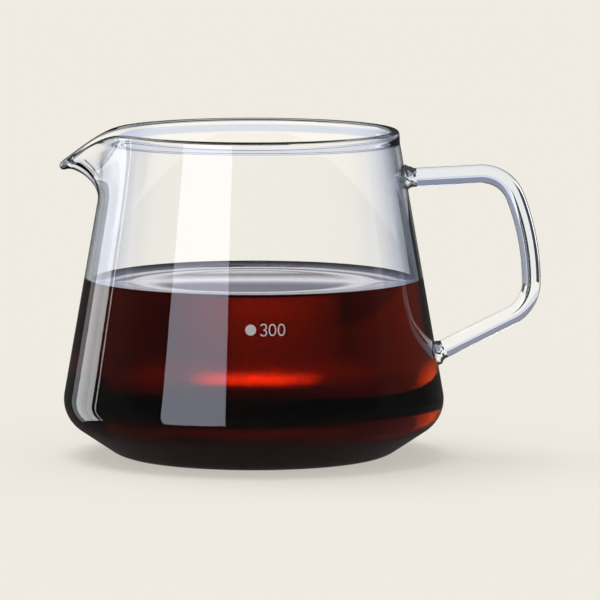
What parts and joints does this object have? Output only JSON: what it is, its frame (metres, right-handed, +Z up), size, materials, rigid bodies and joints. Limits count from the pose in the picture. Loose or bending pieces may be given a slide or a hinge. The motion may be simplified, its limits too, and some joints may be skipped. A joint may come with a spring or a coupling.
{
  "type": "coffee server carafe",
  "caption": "Clear conical glass coffee server with a pulled pouring lip, a bent glass rod handle fused to its side and coffee inside.",
  "frame": {"origin": "centre of the flat that the vessel stands on, on the vessel's axis", "axes": "+Z up along the vessel's axis, +X towards the handle, -X towards the pouring lip, the XZ plane is the mirror plane"},
  "size_m": [0.1363, 0.1078, 0.0925],
  "materials": {
    "glass_body": "polished",
    "handle": "polished",
    "upper_weld": "polished",
    "lower_weld": "polished",
    "coffee": "gloss"
  },
  "bodies": {
    "root": {"glass_body": "glass_body", "handle": "handle", "upper_weld": "upper_weld", "lower_weld": "lower_weld", "coffee": "coffee"}
  },
  "joints": []
}
